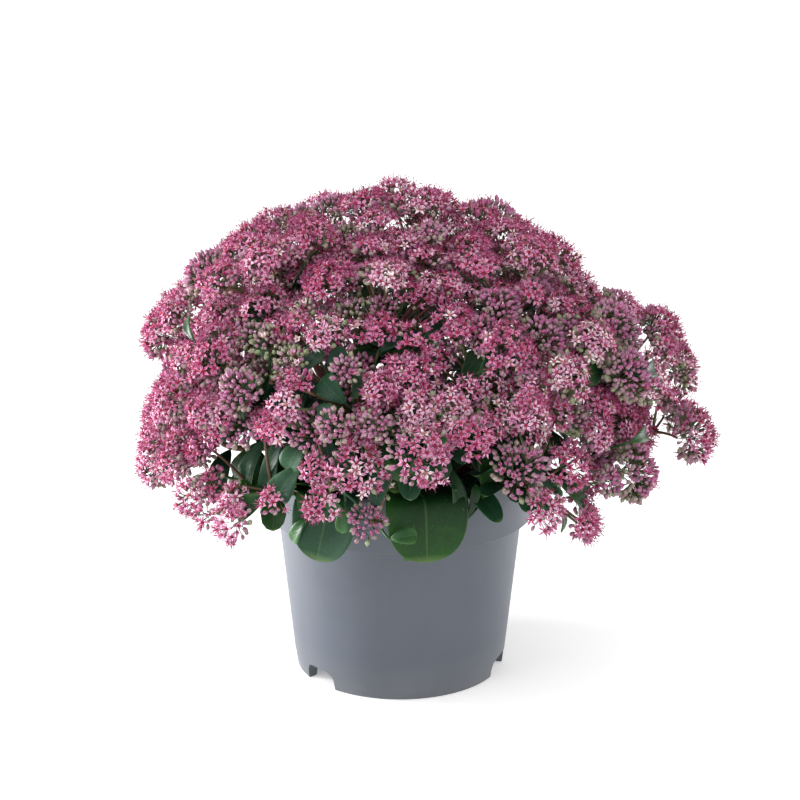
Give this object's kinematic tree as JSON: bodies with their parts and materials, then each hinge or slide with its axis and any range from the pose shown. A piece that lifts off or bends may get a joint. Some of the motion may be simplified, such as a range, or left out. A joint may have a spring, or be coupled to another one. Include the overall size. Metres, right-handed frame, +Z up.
{
  "type": "potted flowering stonecrop",
  "caption": "Mounding fleshy-leaved perennial in full pink flower, a dome of branched flower heads on arching stems, in a round tapering plastic nursery pot with a collar and notched foot.",
  "frame": {"origin": "on the pot's axis, on the surface that the pot stands on", "axes": "+Z up along the pot's axis; the pictured side faces -Y, +X is to its right"},
  "size_m": [0.4082, 0.3882, 0.3492],
  "materials": {
    "pot_plastic": "satin",
    "potting_soil": "matte",
    "stem": "satin",
    "flowers": "matte",
    "leaf": "satin"
  },
  "bodies": {
    "root": {"pot": "pot_plastic", "soil": "potting_soil", "stem_01": "stem", "stem_02": "stem", "stem_03": "stem", "stem_04": "stem", "stem_05": "stem", "stem_06": "stem", "stem_07": "stem", "stem_08": "stem", "stem_09": "stem", "stem_10": "stem", "stem_11": "stem", "stem_12": "stem", "stem_13": "stem", "stem_14": "stem", "stem_15": "stem", "stem_16": "stem", "stem_17": "stem", "stem_18": "stem", "stem_19": "stem", "stem_20": "stem", "stem_21": "stem", "flower_head_01": "flowers", "flower_head_02": "flowers", "flower_head_03": "flowers", "flower_head_04": "flowers", "flower_head_05": "flowers", "flower_head_06": "flowers", "flower_head_07": "flowers", "flower_head_08": "flowers", "flower_head_09": "flowers", "flower_head_10": "flowers", "flower_head_11": "flowers", "flower_head_12": "flowers", "flower_head_13": "flowers", "flower_head_14": "flowers", "flower_head_15": "flowers", "flower_head_16": "flowers", "flower_head_17": "flowers", "flower_head_18": "flowers", "flower_head_19": "flowers", "flower_head_20": "flowers", "flower_head_21": "flowers", "side_shoot_01": "flowers", "side_shoot_02": "flowers", "side_shoot_03": "flowers", "side_shoot_04": "flowers", "side_shoot_05": "flowers", "side_shoot_06": "flowers", "leaf_front_right": "leaf", "leaf_front_left": "leaf", "leaf_front_upright": "leaf", "leaf_left_low": "leaf", "leaf_left_high": "leaf", "leaf_right_narrow": "leaf", "leaf_right_round": "leaf", "leaf_right_hanging": "leaf", "leaf_back_left": "leaf", "leaf_back_right": "leaf"}
  },
  "joints": []
}
